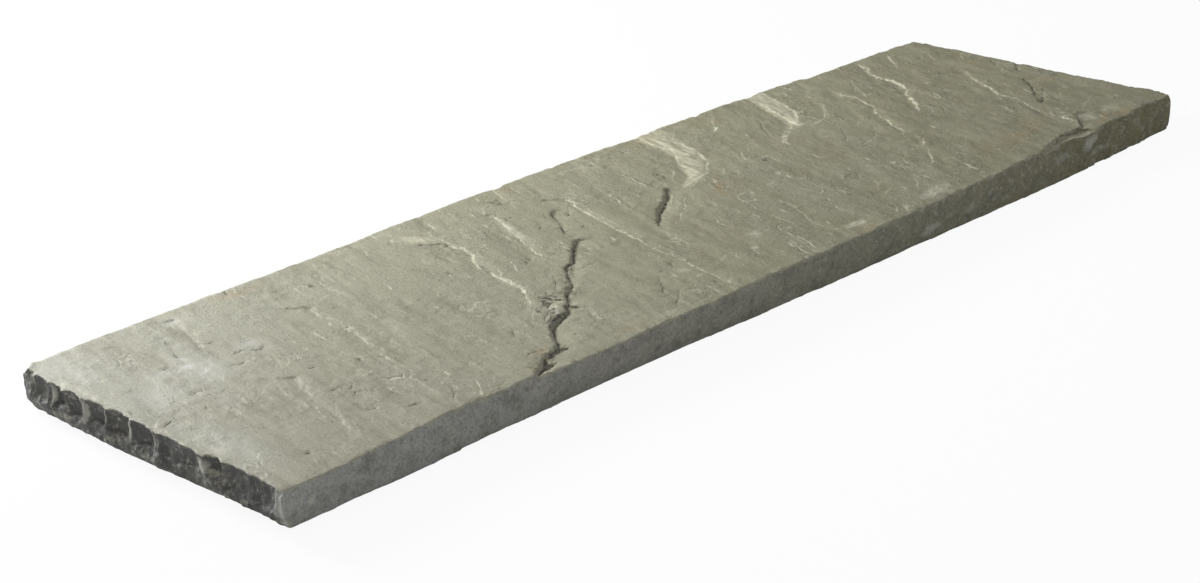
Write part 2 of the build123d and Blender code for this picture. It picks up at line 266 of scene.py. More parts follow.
GLINT_AND_SHEEN = [
    (-422, 53, 5, 5, 0, 1.0), (-418, 67, 2.5, 3.5, 0, 0.8), (-420, 44, 17, 22, 0, 0.4), (-462, 30, 24, 28, 0, 0.28),
    (-482, -60, 14, 45, 0, 0.25), (-440, 56, 13, 8, 0, 0.35), (-372, 52, 9, 9, 0, 0.35), (-380, 126, 10, 8, 0, 0.3),
    (-480, 110, 20, 28, 0, 0.2),
]

# Pale knocks on the standing faces; on the struck end the thin ones are pale ribs, partly a painted highlight where the
# ridges catch the light: place along, across and up, reach along the face, reach up it, strength
KNOCKS = [
    (-500, 104, 23, 2.2, 8, 1.0), (-500, 67, 21, 2.4, 9, 1.0), (-500, 44, 24, 2.0, 6, 0.8),
    (-500, 17, 24, 2.2, 7, 1.3),
    (-500, -8, 24, 2.0, 8, 0.8), (-500, -60, 24, 6, 6, 0.8), (-500, 122, 10, 6, 4, 0.6), (-500, 102, 10, 7, 4, 0.4),
    (-500, 72, 12, 4, 3, 0.35), (-500, -62, 14, 4, 3, 0.4),
    (-500, -138, 20, 1.8, 6, 0.9), (-497, -140, 8, 4, 3, 0.5), (-478, -140, 18, 3, 4, 0.8), (148, -140, 10, 14, 5, 0.8),
    (148, -140, 28, 1.5, 4, 0.7), (83, -140, 23, 5, 1.5, 0.7), (200, -140, 12, 8, 6, 0.5), (340, -140, 18, 22, 5, 0.7),
    (390, -140, 12, 22, 5, 0.5), (-150, -140, 10, 6, 3, 0.4), (-20, -140, 18, 5, 2, 0.5), (120, -140, 5, 20, 2, 0.5),
    (376, -140, 21, 14, 7, 0.9), (350, -140, 24, 9, 5, 0.6), (420, -140, 20, 10, 3, 0.5),
    (270, -140, 20, 9, 3, 0.4), (-380, -140, 12, 4, 3, 0.4), (-300, -140, 20, 7, 2, 0.35), (250, -140, 8, 8, 3, 0.4),
]

# Where the struck panels of the near end meet, in mm across, and how deep each one is hollowed
PANELS = [(142, 0), (124, 1.0), (104, 2.2), (88, 2.8), (67, 2.2), (44, 3.2), (17, 3.2), (-8, 2.6), (-28, 1.8),
          (-55, 2.4), (-66, 0.8), (-95, 2.2), (-118, 1.6), (-133, 1.4), (-142, 0.6)]


# Seeded noise on arrays of points

def lattice(ix, iy, iz, seed):
    # A number from -1 to 1 for each whole place, the same in every run
    h = ix * 374761393 + iy * 668265263 + iz * 2147483647 + seed * 974634777
    h = h.astype(np.uint32)
    h = (h ^ (h >> 13)) * np.uint32(1274126177)
    h = (h ^ (h >> 15)) * np.uint32(2246822519)
    h = h ^ (h >> 16)
    return h.astype(np.float64) / 2147483647.5 - 1.0


def noise(p, seed):
    base = np.floor(p).astype(np.int64)
    f = p - base
    f = f * f * f * (f * (f * 6 - 15) + 10)
    total = 0.0
    for dx in (0, 1):
        wx = f[:, 0] if dx else 1 - f[:, 0]
        for dy in (0, 1):
            wy = f[:, 1] if dy else 1 - f[:, 1]
            for dz in (0, 1):
                wz = f[:, 2] if dz else 1 - f[:, 2]
                total = total + wx * wy * wz * lattice(base[:, 0] + dx, base[:, 1] + dy, base[:, 2] + dz, seed)
    return total


def fractal(p, size, octaves, seed, gain=0.5):
    total = 0.0
    amount = 1.0
    for octave in range(octaves):
        total = total + amount * noise(p / size * 2 ** octave, seed + octave * 17)
        amount *= gain
    return total


def sheet(u, v, level, octaves, seed, gain=0.5):
    # Fractal noise over two coordinates, each already divided by the size of its features
    return fractal(np.stack([u, v, np.full(len(u), level)], 1), 1.0, octaves, seed, gain)


def smooth(low, high, value):
    t = np.clip((value - low) / (high - low), 0.0, 1.0)
    return t * t * (3 - 2 * t)


def near_cells(u, v):
    # The nine cells round each point, as whole places for lattice
    iu, iv = np.floor(u).astype(np.int64), np.floor(v).astype(np.int64)
    zero = np.zeros_like(iu)
    return [(iu + du, iv + dv, zero) for du in (-1, 0, 1) for dv in (-1, 0, 1)]


def bowls(u, v, seed):
    # Shell-shaped hollows side by side, with sharp ridges where they meet; 1 in the middle of a hollow
    best = np.full(len(u), -1e9)
    for cell in near_cells(u, v):
        a = u - (cell[0] + 0.5 + 0.4 * lattice(*cell, seed))
        b = v - (cell[1] + 0.5 + 0.4 * lattice(*cell, seed + 1))
        best = np.maximum(best, 1 + 0.25 * lattice(*cell, seed + 2) - 2.2 * (a ** 2 + b ** 2))
    return best


def pits(u, v, seed):
    # Three-sided pits side by side, with flat walls and sharp ridges; 1 at the bottom of a pit
    best = np.full(len(u), -1e9)
    for cell in near_cells(u, v):
        a = u - (cell[0] + 0.5 + 0.45 * lattice(*cell, seed))
        b = v - (cell[1] + 0.5 + 0.45 * lattice(*cell, seed + 1))
        turn = math.pi * lattice(*cell, seed + 2)
        slope = np.maximum.reduce([a * np.cos(turn + k) + b * np.sin(turn + k) for k in (0.0, 1.8, 3.9)])
        best = np.maximum(best, 1 + 0.35 * lattice(*cell, seed + 3) - 1.9 * slope)
    return best


def along(p, first, last):
    # Plan coordinates turned so that the first runs across the streaks and the second along them. The streaks lean
    # by the first angle at the left end and by the last at the right.
    lean = np.radians(first + (last - first) * smooth(-300, 350, p[:, 0]))
    across = p[:, 0] * np.cos(lean) - p[:, 1] * np.sin(lean)
    down = p[:, 0] * np.sin(lean) + p[:, 1] * np.cos(lean)
    return across, down


def nearest(x, y, lines, reach):
    # Signed distance to the nearest line (positive on its right hand) and the half width there, 0 beyond the reach
    best = np.full(len(x), float(reach))
    signed = np.full(len(x), float(reach))
    wide = np.zeros(len(x))
    for points in lines:
        for (ax, ay, aw), (bx, by, bw) in zip(points, points[1:]):
            close = np.flatnonzero(
                (x > min(ax, bx) - reach) & (x < max(ax, bx) + reach)
                & (y > min(ay, by) - reach) & (y < max(ay, by) + reach))
            run = math.dist((ax, ay), (bx, by))
            ux, uy = (bx - ax) / run, (by - ay) / run
            px, py = x[close] - ax, y[close] - ay
            t = np.clip(px * ux + py * uy, 0, run)
            d = np.hypot(px - t * ux, py - t * uy)
            won = d < best[close]
            hit = close[won]
            best[hit] = d[won]
            signed[hit] = d[won] * np.where(px[won] * uy - py[won] * ux < 0, -1, 1)
            wide[hit] = aw + (bw - aw) * t[won] / run
    return signed, wide * (1 - smooth(0.55 * reach, 0.85 * reach, best))


def patches(x, y, spots):
    total = np.zeros(len(x))
    for px, py, rx, ry, turn, strength in spots:
        c, s = math.cos(math.radians(turn)), math.sin(math.radians(turn))
        u, v = (x - px) * c + (y - py) * s, (y - py) * c - (x - px) * s
        total = np.maximum(total, strength * np.exp(-((u / rx) ** 2 + (v / ry) ** 2)))
    return total


def scarred(x, y):
    total = np.zeros(len(x))
    for points in SCARS:
        signed, wide = nearest(x, y, [points], 30)
        total = np.maximum(total, smooth(-3.0, 2.0, wide - np.abs(signed)) * (wide > 0))
    return total


def shaken(x, y):
    # The plan shaken a little, so that the marks read from the photograph aren't straight between their points
    return x + 1.1 * sheet(x / 9, y / 9, 0.0, 2, 71), y + 1.1 * sheet(x / 9, y / 9, 0.0, 2, 72)


def finer(x, wide):
    # The pale edges are finer on the left part of the stone, and the narrow ones everywhere
    right = smooth(-270, -190, x)
    return wide * np.maximum(0.55 + 0.17 * right, smooth(1.2, 1.8, wide) * right)


# Heights of the terraces, waves, ripples and grain of the top, and what its right part has more of them
TERRACE, TERRACE_TILT = 0.26, 0.06
WAVES, RIGHT_WAVES = 0.12, 0.3
RIPPLE, RIGHT_RIPPLE = 0.09, 0.05
GRAIN = 0.06
# Drop at a pale edge and depth of a dark crack as shares of the half width, and the most that each comes to
EDGE_DROP, EDGE_WIDEST, EDGE_RUN = 0.42, 1.6, 5
CRACK_DEPTH, CRACK_DEEPEST = 0.7, 1.4
# Crumbs beside the cracks, strands and sinking of the scars, roughness of the bruises
CRUMBS, CRUMBS_REACH = 0.55, 4.5
STRANDS, SCAR_SINK = 0.45, 0.3
BRUISE_ROUGHNESS = 0.35


def top_relief(p):
    x, y = p[:, 0], p[:, 1]
    across, down = along(p, 14, 33)
    right = smooth(-150, 250, x)
    swell = sheet(x / 90, y / 120, 3.1, 2, 11)
    lamina = sheet(across / 24, down / 95, 7.7, 5, 23, 0.55)
    shelf = (lamina * 1.6 + swell * 0.8) / 0.55
    level = np.floor(shelf)
    relief = (level + smooth(0.0, 0.14, shelf - level)) * TERRACE + (shelf - level) * TERRACE_TILT
    across, down = along(p, 4, 16)
    waves = sheet(across / 11, down / 42, 9.3, 3, 37)
    ripple = sheet(across / 4.6, down / 26, 1.7, 3, 41)
    grain = sheet(across / 3.0, down / 5.5, 5.3, 2, 57)
    relief = relief + waves * (WAVES + RIGHT_WAVES * right) + ripple * (RIPPLE + RIGHT_RIPPLE * right) + grain * GRAIN
    wx, wy = shaken(x, y)
    signed, wide = nearest(wx, wy, PALE, 16)
    wide = finer(x, wide)
    drop = np.where(signed > 0, np.exp(-np.abs(signed) / EDGE_RUN), 0.0)
    relief = relief - EDGE_DROP * np.minimum(wide, EDGE_WIDEST) * drop
    signed, wide = nearest(wx, wy, DARK, 12)
    relief = relief - np.minimum(CRACK_DEPTH * wide, CRACK_DEEPEST) * np.exp(-(signed / (0.5 + 0.8 * wide)) ** 2)
    crumbs = sheet(x / 3.4, y / 3.4, 8.8, 2, 113)
    relief = relief + crumbs * CRUMBS * np.minimum(wide, 1.2) * np.exp(-(signed / CRUMBS_REACH) ** 2)
    strands = sheet(across / 3.4, down / 22, 2.9, 3, 83)
    relief = relief + scarred(wx, wy) * (strands * STRANDS - SCAR_SINK)
    return relief + patches(x, y, BRUISES) * fractal(p / 3.5, 1.0, 2, 97) * BRUISE_ROUGHNESS


# Depth of the large and small pits of the struck ends, and of their grain
PITS, SMALL_PITS, END_GRAIN = 1.2, 0.8, 0.25


def end_relief(p, seed):
    # The upper band is struck in panels, with pits over the whole end that are deeper in the lower band
    q = p[:, 1] + 2.0 * noise(p / 11, seed + 7)
    z = p[:, 2] + 2.5 * noise(p / 16, seed + 8)
    panel = np.zeros(len(q))
    for (start, _), (stop, deep) in zip(PANELS, PANELS[1:]):
        t = np.clip((start - q) / (start - stop), 0, 1)
        panel = np.maximum(panel, deep * (1 - (2 * t - 1) ** 4))
    upper = smooth(14.5, 17.5, z) * (1 - 0.85 * smooth(27.5, 31, z))
    large = pits(q / 13 + 3, z / 11 + 5, seed)
    small = pits(q / 5.2 + 9, z / 4.4 + 2, seed + 4)
    lower = 1 - 0.55 * upper
    grain = fractal(p / 3.5, 1.0, 2, seed + 11)
    return -(panel * upper + (large * PITS + small * SMALL_PITS) * lower + grain * END_GRAIN)


# Heights of the relief of the long sides, and what the rough stretch under the broken arris has more of it
TOOLING, ROUGH_TOOLING = 0.22, 0.4
SWEEP, ROUGH_SWEEP = 0.4, 0.5
DENTS, ROUGH_DENTS = 0.35, 0.5


def side_relief(p, seed):
    # Dressed long sides: nearly plane, with a fine slanting tooling and rougher patches
    x, z = p[:, 0], p[:, 2]
    tooling = sheet((x + z * 1.6) / 6, (z - x * 0.35) / 3.2, 0.0, 3, seed)
    sweep = sheet(x / 55, z / 20, 0.5, 3, seed + 9)
    dents = bowls(x / 19 + 40, z / 13 + 3, seed + 15)
    rough = smooth(285, 335, x) * (1 - 0.5 * smooth(420, 470, x))
    torn = 0.35 + 0.65 * smooth(-0.1, 0.5, noise(p / 40, seed + 21))
    relief = tooling * (TOOLING + ROUGH_TOOLING * rough) + sweep * (SWEEP + ROUGH_SWEEP * rough)
    return relief - dents * (DENTS + ROUGH_DENTS * rough) * torn


# The hollow that chips the far left corner of the solid is a ball round this point, with this radius. It is filled by
# this much, not past the end and the far side.
CHIP = np.array([-497.2, 145.2, 37.2])
CHIP_RADIUS, CHIP_FADE, CHIP_FILL = 15.3, 17.5, 4.0
END_FACE, FAR_FACE = -498.0, 141.0
# How far the belly of the right end is taken in, and its foot let out
BELLY_IN, FOOT_OUT = 1.8, 1.5


def mend_corners(p):
    # The chip is shallower in the photograph than in the solid, and the right end stands straighter
    to_chip = CHIP - p
    away = np.linalg.norm(to_chip, axis=1)
    mended = p + to_chip / away[:, None] * (CHIP_FILL * (1 - smooth(CHIP_RADIUS, CHIP_FADE, away)))[:, None]
    mended[:, 0] = np.maximum(mended[:, 0], np.minimum(p[:, 0], END_FACE))
    mended[:, 1] = np.minimum(mended[:, 1], np.maximum(p[:, 1], FAR_FACE))
    mended[:, 2] = np.minimum(mended[:, 2], TOP)
    z = mended[:, 2]
    inward = BELLY_IN * np.exp(-((z - TOP / 2) / 7) ** 2) - FOOT_OUT * (1 - smooth(0, 8, z))
    mended[:, 0] -= inward * smooth(478, 496, mended[:, 0])
    return mended


def knocks(p):
    # Each knock is a soft patch. On the struck end it reaches this far in from the face, and on the near side too,
    # where it slants.
    inward, slant = 9, 0.6
    total = np.zeros(len(p))
    for kx, ky, kz, reach, height, strength in KNOCKS:
        d = np.hypot((p[:, 0] - kx) / (reach + 4), (p[:, 1] - ky) / (reach + 4))
        if kx < -490:
            d = np.hypot((p[:, 0] - kx) / inward, (p[:, 1] - ky) / reach)
        if ky < -139:
            d = np.hypot((p[:, 0] - kx + slant * (kz - p[:, 2])) / reach, (p[:, 1] - ky) / inward)
        total = np.maximum(total, strength * np.exp(-(d ** 2 + ((p[:, 2] - kz) / height) ** 2)))
    return total


def apply_modifiers(piece):
    depsgraph = bpy.context.evaluated_depsgraph_get()
    made = bpy.data.meshes.new_from_object(piece.evaluated_get(depsgraph))
    old = piece.data
    piece.modifiers.clear()
    piece.data = made
    bpy.data.meshes.remove(old)
    return made


def read(mesh):
    count = len(mesh.vertices)
    co = np.empty(count * 3, np.float32)
    mesh.vertices.foreach_get("co", co)
    normal = np.empty(count * 3, np.float32)
    mesh.vertices.foreach_get("normal", normal)
    return co.reshape(-1, 3).astype(np.float64) / MM + ORIGIN, normal.reshape(-1, 3).astype(np.float64)


def write(mesh, p):
    # Nothing may stand outside the CAD box
    low = np.array(cad_box[0]) / MM + ORIGIN
    high = np.array(cad_box[1]) / MM + ORIGIN
    mesh.vertices.foreach_set("co", ((np.clip(p, low, high) - ORIGIN) * MM).astype(np.float32).ravel())
    mesh.update()


# The stone's mesh is the CAD solid cut fine, with its faces moved in and out along their normals

VOXEL = 0.0012                           # in metres
TRIANGLES = 195000
MIDDLE_Y = 2.0
ARRIS_X, ARRIS_Y = 497, 137              # how far the top reaches from the middle
STILL, MOVING = 0.35, 0.9                # share of the sideways shake at an arris, and what it gains inland
UPWARD = 0.3                             # the same, up and down
TOP_SUNK, END_OUT, SIDE_OUT = 0.35, 0.9, 0.1   # how far each relief is moved in or out as a whole
RIGHT_END = 0.3                          # the right end is struck more quietly
BED_RELIEF = 0.35

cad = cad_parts["coping_stone"]
mesh = cad.data.copy()
mesh.name = "riven_stone"
stone = bpy.data.objects.new("riven_stone", mesh)
bpy.context.scene.collection.objects.link(stone)
mesh.materials.clear()
for layer in list(mesh.uv_layers):
    mesh.uv_layers.remove(layer)

remesh = stone.modifiers.new("remesh", "REMESH")
remesh.mode = "VOXEL"
remesh.voxel_size = VOXEL
remesh.use_smooth_shade = True
mesh = apply_modifiers(stone)
p, n = read(mesh)

on_top = smooth(0.55, 0.85, n[:, 2])
on_bed = smooth(0.55, 0.85, -n[:, 2])
on_end = smooth(0.45, 0.8, np.abs(n[:, 0])) * (1 - on_top) * (1 - on_bed)
on_side = np.clip(1 - on_top - on_bed - on_end, 0, 1)
p = mend_corners(p)

# Shake the fracture lines and arrises sideways, then raise the relief
inland = smooth(0, 14, np.minimum(ARRIS_X - np.abs(p[:, 0]), ARRIS_Y - np.abs(p[:, 1] - MIDDLE_Y)))
jag = np.stack([
    fractal(p / 9, 1.0, 3, 101) * (STILL + MOVING * inland),
    fractal(p / 9, 1.0, 3, 131) * (STILL + MOVING * inland),
    fractal(p / 7, 1.0, 2, 151) * UPWARD,
], 1)
p = p + jag * smooth(0, 6, p[:, 2])[:, None]
amount = on_top * (top_relief(p) - TOP_SUNK)
amount += on_end * np.where(p[:, 0] < 0, 1.0, RIGHT_END) * (end_relief(p, 201) + END_OUT)
amount += on_side * (side_relief(p, 301) + SIDE_OUT)
amount += on_bed * (fractal(p / 25, 1.0, 4, 401) * BED_RELIEF - BED_RELIEF)
write(mesh, p + n * amount[:, None])

decimate = stone.modifiers.new("decimate", "DECIMATE")
decimate.ratio = TRIANGLES / (2 * len(mesh.polygons))
mesh = apply_modifiers(stone)
p, n = read(mesh)
write(mesh, p)

# Marks kept on the mesh. The lines are kept as signed distances, which stay sharp between the mesh's points.
wx, wy = shaken(p[:, 0], p[:, 1])
skin = smooth(0.5, 0.8, n[:, 2]) * smooth(18, 23, p[:, 2])
pale_distance, pale_width = nearest(wx, wy, PALE, 8)
dark_distance, dark_width = nearest(wx, wy, DARK, 8)
marks = {
    "skin": skin,
    "pale_distance": pale_distance,
    "pale_width": finer(p[:, 0], pale_width) * skin,
    "dark_distance": dark_distance,
    "dark_width": dark_width * skin,
    "scar": scarred(wx, wy) * skin,
    "bruise": patches(wx, wy, BRUISES) * skin,
    "rust": patches(wx, wy, RUST) * skin,
    "glint_and_sheen": patches(wx, wy, GLINT_AND_SHEEN) * skin,
    "steep": smooth(0.012, 0.06, 1 - n[:, 2]) * skin,
    "knock_and_rib_highlight": knocks(p) * (1 - skin),
}
for name, values in marks.items():
    layer = mesh.attributes.new(name, "FLOAT", "POINT")
    layer.data.foreach_set("value", values.astype(np.float32))

# The struck ends keep their facets; the other faces are shaded smooth
for polygon in mesh.polygons:
    polygon.use_smooth = abs(polygon.normal.x) < 0.5


# Materials. Places and lengths in them, on the floor and for the light are in metres.

class Nodes:
    def __init__(self, owner):
        self.owner = owner
        owner.use_nodes = True
        self.tree = owner.node_tree
        self.tree.nodes.clear()

    def add(self, kind, inputs=None, **settings):
        node = self.tree.nodes.new(kind)
        for key, value in settings.items():
            setattr(node, key, value)
        for key, value in (inputs or {}).items():
            self.put(value, node.inputs[key])
        return node

    def put(self, value, socket):
        if isinstance(value, bpy.types.NodeSocket):
            self.tree.links.new(value, socket)
        else:
            socket.default_value = value

    def mark(self, name):
        return self.add("ShaderNodeAttribute", attribute_name=name).outputs["Fac"]

    def noise(self, vector, scale, detail=4.0, roughness=0.55):
        node = self.add("ShaderNodeTexNoise", {"Vector": vector, "Scale": scale, "Detail": detail,
                                               "Roughness": roughness})
        return node.outputs["Fac"]

    def ramp(self, value, low, high, to_low=0.0, to_high=1.0):
        node = self.add("ShaderNodeMapRange", {"Value": value, "From Min": low, "From Max": high,
                                               "To Min": to_low, "To Max": to_high})
        return node.outputs["Result"]

    def math(self, kind, a, b=0.0):
        return self.add("ShaderNodeMath", {0: a, 1: b}, operation=kind).outputs[0]

    def times(self, a, b):
        return self.math("MULTIPLY", a, b)

    def turned(self, vector, degrees, stretch):
        # Coordinates for streaks that lean by these degrees and are drawn out this many times
        node = self.add("ShaderNodeMapping", {"Vector": vector, "Rotation": (0, 0, -math.radians(degrees)),
                                              "Scale": (1, stretch, 1)}, vector_type="TEXTURE")
        return node.outputs["Vector"]

    def flecks(self, vector, scale, size, share, strength):
        # Scattered small marks: in this share of the cells there is none, in the others one of this size
        cells = self.add("ShaderNodeTexVoronoi", {"Vector": vector, "Scale": scale})
        pick = self.add("ShaderNodeSeparateColor", {0: cells.outputs["Color"]}).outputs[0]
        ragged_edge = self.ramp(self.noise(vector, scale * 6, 3, 0.7), 0.3, 0.7, -0.12, 0.12)
        distance = self.math("ADD", cells.outputs["Distance"], ragged_edge)
        spot = self.ramp(distance, size * 0.6, size, strength, 0)
        return self.times(spot, self.ramp(pick, share, share + 0.02))

    def mix(self, share, a, b):
        node = self.add("ShaderNodeMix", data_type="RGBA")
        self.put(share, node.inputs[0])
        self.put(a, node.inputs[6])
        self.put(b, node.inputs[7])
        return node.outputs[2]


# Colours of the stone in linear light. Those of the top run from its left end to its right, then to its near edge; the
# paler, greyer left end is partly a painted sheen, and the darker right end and near edge are partly painted shade.
TOP_LEFT = (0.465, 0.465, 0.395, 1)
TOP_MIDDLE = (0.372, 0.364, 0.24, 1)
TOP_RIGHT = (0.29, 0.279, 0.165, 1)
TOP_NEAR = (0.225, 0.216, 0.138, 1)
TOP_NEAR_RIGHT = (0.14, 0.128, 0.058, 1)
CLOUD_BROWN = (0.3, 0.285, 0.185, 1)
CLOUD_GREY = (0.32, 0.325, 0.255, 1)
STREAK_PALE = (0.46, 0.45, 0.33, 1)
STREAK_DARK = (0.19, 0.182, 0.12, 1)
GRAIN_DARK = (0.16, 0.153, 0.1, 1)
GRAIN_PALE = (0.52, 0.51, 0.4, 1)
FLAKE_PALE = (0.62, 0.61, 0.47, 1)
FLAKE_SHADOW = (0.09, 0.085, 0.06, 1)
FLECK_PALE = (0.6, 0.59, 0.46, 1)
FLECK_DARK = (0.075, 0.07, 0.05, 1)
SPECK_DARK = (0.1, 0.095, 0.065, 1)
SLOPE_TONE = (0.25, 0.243, 0.165, 1)
SCAR_TONE = (0.6, 0.58, 0.425, 1)
BRUISE_TONE = (0.56, 0.55, 0.43, 1)
RUST_TONE = (0.36, 0.235, 0.095, 1)
GLINT_AND_SHEEN_TONE = (0.78, 0.78, 0.74, 1)
EDGE_TONE = (0.62, 0.605, 0.455, 1)
CRACK_TONE = (0.055, 0.051, 0.032, 1)
SIDE_LEFT = (0.37, 0.37, 0.352, 1)
SIDE_MIDDLE = (0.3, 0.294, 0.218, 1)
SIDE_RIGHT = (0.205, 0.19, 0.092, 1)
STRUCK_TONE = (0.066, 0.066, 0.065, 1)
SIDE_CLOUD_DARK = (0.13, 0.127, 0.1, 1)
SIDE_CLOUD_PALE = (0.42, 0.41, 0.34, 1)
SIDE_GRAIN = (0.07, 0.068, 0.056, 1)
SIDE_FLECK_PALE = (0.45, 0.44, 0.38, 1)
SIDE_FLECK_DARK = (0.06, 0.058, 0.05, 1)
KNOCK_AND_RIB_HIGHLIGHT_TONE = (0.46, 0.455, 0.4, 1)
RIM_TONE = (0.46, 0.45, 0.35, 1)

s = Nodes(bpy.data.materials.new("riven_sandstone"))
coords = s.add("ShaderNodeTexCoord").outputs["Object"]
place_x = s.add("ShaderNodeSeparateXYZ", {0: coords}).outputs["X"]
place_y = s.add("ShaderNodeSeparateXYZ", {0: coords}).outputs["Y"]
streaks = s.turned(coords, 9, 5)
lean = s.turned(coords, 22, 3.6)
ragged = s.ramp(s.noise(coords, 210, 6, 0.75), 0.25, 0.75, -1.7, 1.7)
worn = s.ramp(s.noise(coords, 90, 6, 0.8), 0.41, 0.52, 0.0, 1.0)


def line_mark(name, share, blur):
    # 1 on the line and 0 off it. The line is as wide as this share of the marked half width, less the ragged distance.
    distance = s.math("ABSOLUTE", s.math("ADD", s.mark(name + "_distance"), ragged))
    return s.ramp(s.math("SUBTRACT", s.times(s.mark(name + "_width"), share), distance), 0.0, blur)


# The top: its tone from end to end and to the near edge, partly the stone's own tone and partly painted light, with a
# painted sheen on the left end and painted shade towards the right end and the near edge
top = s.mix(s.ramp(place_x, -0.5, -0.05), TOP_LEFT, TOP_MIDDLE)
top = s.mix(s.ramp(place_x, -0.05, 0.45), top, TOP_RIGHT)
top = s.mix(s.ramp(place_y, -0.14, 0.15, 0.5, 0.0), top, TOP_NEAR)
# Painted shade: the near half of the top is darkened towards TOP_NEAR_RIGHT, from its middle to near its right end
near_right_shade = s.times(s.ramp(place_x, -0.1, 0.05), s.ramp(place_x, 0.4, 0.47, 1, 0))
near_right_shade = s.times(near_right_shade, s.ramp(place_y, -0.02, 0.05, 0.22, 0.0))
top = s.mix(near_right_shade, top, TOP_NEAR_RIGHT)

# Clouds, streaks and grain
top = s.mix(s.ramp(s.noise(coords, 8, 5), 0.45, 0.7, 0, 0.4), top, CLOUD_BROWN)
top = s.mix(s.ramp(s.noise(coords, 14, 4), 0.52, 0.72, 0, 0.3), top, CLOUD_GREY)
top = s.mix(s.ramp(s.noise(streaks, 85, 6, 0.7), 0.42, 0.64, 0, 0.4), top, STREAK_PALE)
top = s.mix(s.ramp(s.noise(streaks, 60, 6, 0.7), 0.5, 0.68, 0, 0.45), top, STREAK_DARK)
top = s.mix(s.ramp(s.noise(coords, 620, 3, 0.8), 0.48, 0.66, 0, 0.42), top, GRAIN_DARK)
top = s.mix(s.ramp(s.noise(coords, 800, 2, 0.8), 0.54, 0.68, 0, 0.4), top, GRAIN_PALE)

# Thin layers that flake off in places. The pale edge is partly fresh stone and partly a painted highlight on the lit
# step; the dark edge is a painted shadow under the lifted layer.
layers = s.math("FRACT", s.times(s.noise(lean, 26, 4, 0.52), 7.0))
flaky = s.times(s.ramp(s.noise(coords, 24, 5, 0.65), 0.5, 0.6), s.ramp(s.noise(coords, 150, 5, 0.7), 0.42, 0.54))
pale_edge_and_highlight = s.times(s.ramp(layers, 0.05, 0.17, 1, 0), flaky)
top = s.mix(s.times(pale_edge_and_highlight, 0.5), top, FLAKE_PALE)
# Painted shadow along the lifted edges of the layers
flake_lip_shadow = s.times(flaky, s.ramp(s.noise(coords, 60, 4), 0.5, 0.56))
flake_edge_shadow = s.times(s.ramp(layers, 0.84, 0.96), flake_lip_shadow)
top = s.mix(s.times(flake_edge_shadow, 0.75), top, FLAKE_SHADOW)
top = s.mix(s.flecks(lean, 120, 0.17, 0.8, 0.7), top, FLECK_PALE)
top = s.mix(s.flecks(lean, 80, 0.1, 0.84, 0.75), top, FLECK_DARK)
top = s.mix(s.flecks(coords, 330, 0.24, 0.8, 0.6), top, SPECK_DARK)

# The marks read from the photograph
top = s.mix(s.times(s.mark("steep"), 0.3), top, SLOPE_TONE)
strands = s.ramp(s.noise(streaks, 190, 5, 0.75), 0.4, 0.6, 0.25, 0.95)
top = s.mix(s.times(s.mark("scar"), strands), top, SCAR_TONE)
patch = s.ramp(s.math("ADD", s.mark("bruise"), s.noise(coords, 210, 5, 0.7)), 0.72, 1.2, 0, 0.75)
top = s.mix(s.times(patch, s.ramp(s.mark("bruise"), 0.02, 0.25)), top, BRUISE_TONE)
rusty = s.times(s.mark("rust"), s.ramp(s.noise(coords, 90, 5, 0.7), 0.35, 0.62, 0.25, 1.0))
top = s.mix(s.times(rusty, 0.75), top, RUST_TONE)
# Painted glint and sheen: whitish patches on the left of the top
top = s.mix(s.times(s.mark("glint_and_sheen"), 0.85), top, GLINT_AND_SHEEN_TONE)
# Pale edges: fresh stone with a painted highlight where the step faces catch the light
pale = s.times(line_mark("pale", 0.75, 0.3), worn)
top = s.mix(s.times(pale, s.ramp(place_x, -0.27, -0.19, 0.6, 0.95)), top, EDGE_TONE)
# Dark cracks: dirt in the joints, with painted shade cast by the steps and overhanging edges
dark = s.times(line_mark("dark", 0.85, 0.4), s.ramp(s.noise(coords, 240, 4, 0.7), 0.38, 0.5, 0.3, 1.0))
top = s.mix(s.times(dark, 0.9), top, CRACK_TONE)

# The standing faces and the bed: tone from end to end, the struck end darkened by painted shade, then clouds, grain,
# flecks, and knocks with a painted highlight on the ribs of the struck end
side = s.mix(s.ramp(place_x, -0.4, 0.05), SIDE_LEFT, SIDE_MIDDLE)
side = s.mix(s.ramp(place_x, 0.05, 0.45), side, SIDE_RIGHT)
# Painted shade: the struck left end is made almost black, over its own darker grey
struck = s.times(s.ramp(place_x, -0.489, -0.481, 1, 0), s.ramp(place_y, -0.14, -0.135))
side = s.mix(struck, side, STRUCK_TONE)
side = s.mix(s.ramp(s.noise(coords, 55, 6, 0.7), 0.46, 0.64, 0, 0.55), side, SIDE_CLOUD_DARK)
side = s.mix(s.ramp(s.noise(coords, 150, 5, 0.75), 0.52, 0.64, 0, 0.6), side, SIDE_CLOUD_PALE)
side = s.mix(s.ramp(s.noise(coords, 480, 3, 0.8), 0.46, 0.62, 0, 0.42), side, SIDE_GRAIN)
side = s.mix(s.flecks(coords, 140, 0.2, 0.7, 0.6), side, SIDE_FLECK_PALE)
side = s.mix(s.flecks(coords, 110, 0.2, 0.65, 0.4), side, SIDE_FLECK_DARK)
# Pale knocks, with a painted highlight on the ribs of the struck end
knock_and_highlight_share = s.ramp(s.math("ADD", s.mark("knock_and_rib_highlight"), s.noise(coords, 160, 5, 0.7)), 0.75, 1.15, 0, 0.8)
side = s.mix(s.times(knock_and_highlight_share, s.ramp(s.mark("knock_and_rib_highlight"), 0.03, 0.3)), side, KNOCK_AND_RIB_HIGHLIGHT_TONE)

